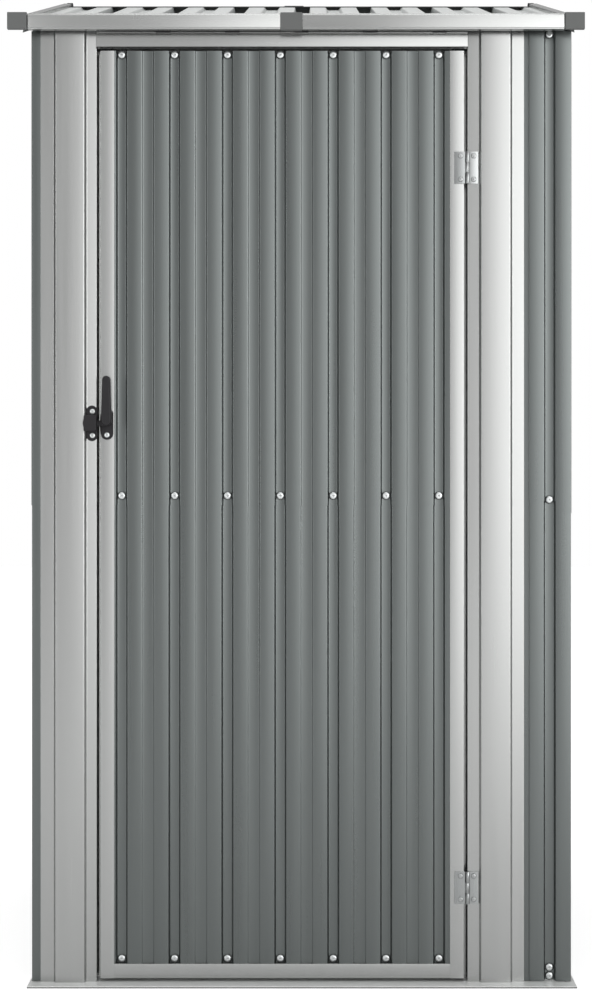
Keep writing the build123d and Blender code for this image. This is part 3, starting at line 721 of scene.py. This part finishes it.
floorSettings = {
    "half": 14, "colour": (0.9, 0.9, 0.9, 1), "roughness": 0.8,
    "camera": 0.55,  # added where the camera sees the floor, so that it is white
    "near": 0.12, "far": 1.4,  # what gloss sees of it, at the shed and far in front on the right
    "farRange": (-1.2, -6.0), "rightRange": (-1.0, 1.5), "left": 0.25,
}


def rampNode(tree, value, span, low, high):
    node = tree.nodes.new("ShaderNodeMapRange")
    node.inputs["From Min"].default_value, node.inputs["From Max"].default_value = span
    node.inputs["To Min"].default_value, node.inputs["To Max"].default_value = low, high
    tree.links.new(value, node.inputs["Value"])
    return node


def makeStage():
    settings = floorSettings
    floorMesh = bpy.data.meshes.new("floor")
    mesh = bmesh.new()
    size = settings["half"]
    corners = [mesh.verts.new((x * size, y * size, 0)) for x, y in ((-1, -1), (1, -1), (1, 1), (-1, 1))]
    mesh.faces.new(corners)
    mesh.to_mesh(floorMesh)
    mesh.free()
    floor = bpy.data.objects.new("floor", floorMesh)
    bpy.context.scene.collection.objects.link(floor)
    material, tree, shader = newMaterial("paleFloor")
    shader.inputs["Base Color"].default_value = settings["colour"]
    shader.inputs["Roughness"].default_value = settings["roughness"]
    path = tree.nodes.new("ShaderNodeLightPath")
    gloss = mathNode(tree, "MAXIMUM", path.outputs["Is Glossy Ray"], path.outputs["Is Transmission Ray"])
    place = tree.nodes.new("ShaderNodeTexCoord")
    split = tree.nodes.new("ShaderNodeSeparateXYZ")
    tree.links.new(place.outputs["Object"], split.inputs[0])
    far = rampNode(tree, split.outputs["Y"], settings["farRange"], 0.0, 1.0)
    right = rampNode(tree, split.outputs["X"], settings["rightRange"], settings["left"], 1.0)
    lit = mathNode(tree, "MULTIPLY", far.outputs["Result"], right.outputs["Result"])
    lit = mathNode(tree, "MULTIPLY", lit, settings["far"])
    seen = mathNode(tree, "MULTIPLY", path.outputs["Is Camera Ray"], settings["camera"])
    mirrored = mathNode(tree, "MULTIPLY", gloss, mathNode(tree, "ADD", lit, settings["near"]))
    strength = mathNode(tree, "ADD", seen, mirrored)
    shader.inputs["Emission Color"].default_value = (1, 1, 1, 1)
    tree.links.new(strength, shader.inputs["Emission Strength"])
    floorMesh.materials.append(material)


worldSettings = {
    "fill": 0.55,  # what soft surfaces see
    "sheen": 0.75,  # what gloss and glass see
    "glow": 2.65,  # the wide soft light in front on the right, for gloss
    "glowFrom": (math.sin(math.radians(30)), -math.cos(math.radians(30)), 0.06),
    "glowRange": (0.80, 0.968),
    "core": 0.8,  # added in the middle of the glow
    "coreRange": (0.955, 0.998),
    "dim": 0.5,  # the left side of the studio is dimmer
    "dimFrom": (-0.87, -0.50, 0.0),
    "dimRange": (0.72, 0.87),
    "flags": 0.1,  # two dark flags, which the slopes of the folds mirror
    "flagsFrom": [(0.83, -0.56, 0.0), (-0.83, -0.56, 0.0)],
    "flagsRange": (0.965, 0.990),
    "shade": 0.08,  # the dark corners of the studio, behind on both sides
    "shadeFrom": [(0.80, 0.60, 0.0), (-0.80, 0.60, 0.0)],
    "shadeRange": (0.45, 0.90),
}


def makeWorld():
    world = bpy.data.worlds.new("studio")
    bpy.context.scene.world = world
    world.use_nodes = True
    tree = world.node_tree
    tree.nodes.clear()
    output = tree.nodes.new("ShaderNodeOutputWorld")
    background = tree.nodes.new("ShaderNodeBackground")
    tree.links.new(background.outputs[0], output.inputs["Surface"])
    path = tree.nodes.new("ShaderNodeLightPath")
    place = tree.nodes.new("ShaderNodeTexCoord")

    def toward(direction):
        node = tree.nodes.new("ShaderNodeVectorMath")
        node.operation = "DOT_PRODUCT"
        node.inputs[1].default_value = direction
        tree.links.new(place.outputs["Generated"], node.inputs[0])
        return node.outputs["Value"]

    def softStep(value, span, low, high):
        node = rampNode(tree, value, span, low, high)
        node.interpolation_type = "SMOOTHSTEP"
        return node.outputs["Result"]

    settings = worldSettings
    dark = mathNode(tree, "MAXIMUM", *[toward(direction) for direction in settings["shadeFrom"]])
    level = softStep(dark, settings["shadeRange"], settings["sheen"], settings["shade"])
    side = softStep(toward(settings["dimFrom"]), settings["dimRange"], 1.0, settings["dim"])
    level = mathNode(tree, "MULTIPLY", level, side)
    flags = mathNode(tree, "MAXIMUM", *[toward(direction) for direction in settings["flagsFrom"]])
    cut = softStep(flags, settings["flagsRange"], 1.0, settings["flags"])
    level = mathNode(tree, "MULTIPLY", level, cut)
    extra = settings["glow"] - settings["sheen"]
    glow = softStep(toward(settings["glowFrom"]), settings["glowRange"], 0.0, extra)
    core = softStep(toward(settings["glowFrom"]), settings["coreRange"], 0.0, settings["core"])
    glow = mathNode(tree, "ADD", glow, core)
    gloss = mathNode(tree, "MAXIMUM", path.outputs["Is Glossy Ray"], path.outputs["Is Transmission Ray"])
    glossPart = mathNode(tree, "MULTIPLY", gloss, mathNode(tree, "ADD", level, glow))
    rest = mathNode(tree, "SUBTRACT", 1.0, mathNode(tree, "MAXIMUM", gloss, path.outputs["Is Camera Ray"]))
    fillPart = mathNode(tree, "MULTIPLY", rest, settings["fill"])
    total = mathNode(tree, "ADD", mathNode(tree, "ADD", glossPart, fillPart), path.outputs["Is Camera Ray"])
    tree.links.new(total, background.inputs["Strength"])
    background.inputs["Color"].default_value = (1, 1, 1, 1)


lampSettings = {
    "rightPanel": {"place": (3.2, -4.0, 1.3), "aim": (0.2, -0.4, 0.9), "size": (0.9, 2.8), "power": 42},
    "leftPanel": {"place": (-3.0, -4.0, 1.3), "aim": (-0.2, -0.4, 0.9), "size": (0.9, 2.8), "power": 42},
    "topPanel": {"place": (0, -0.9, 4.2), "aim": (0, 0, 0), "size": (2.5, 2.5), "power": 50},
}


def makeLamps():
    for name, settings in lampSettings.items():
        data = bpy.data.lights.new(name, "AREA")
        data.shape = "RECTANGLE"
        data.size, data.size_y = settings["size"]
        data.energy = settings["power"]
        lamp = bpy.data.objects.new(name, data)
        lamp.location = settings["place"]
        aim = Vector(settings["aim"]) - Vector(settings["place"])
        lamp.rotation_euler = aim.to_track_quat("-Z", "Y").to_euler()
        lamp.visible_camera = False
        bpy.context.scene.collection.objects.link(lamp)


makeStage()
makeWorld()
makeLamps()
print("studio lit")
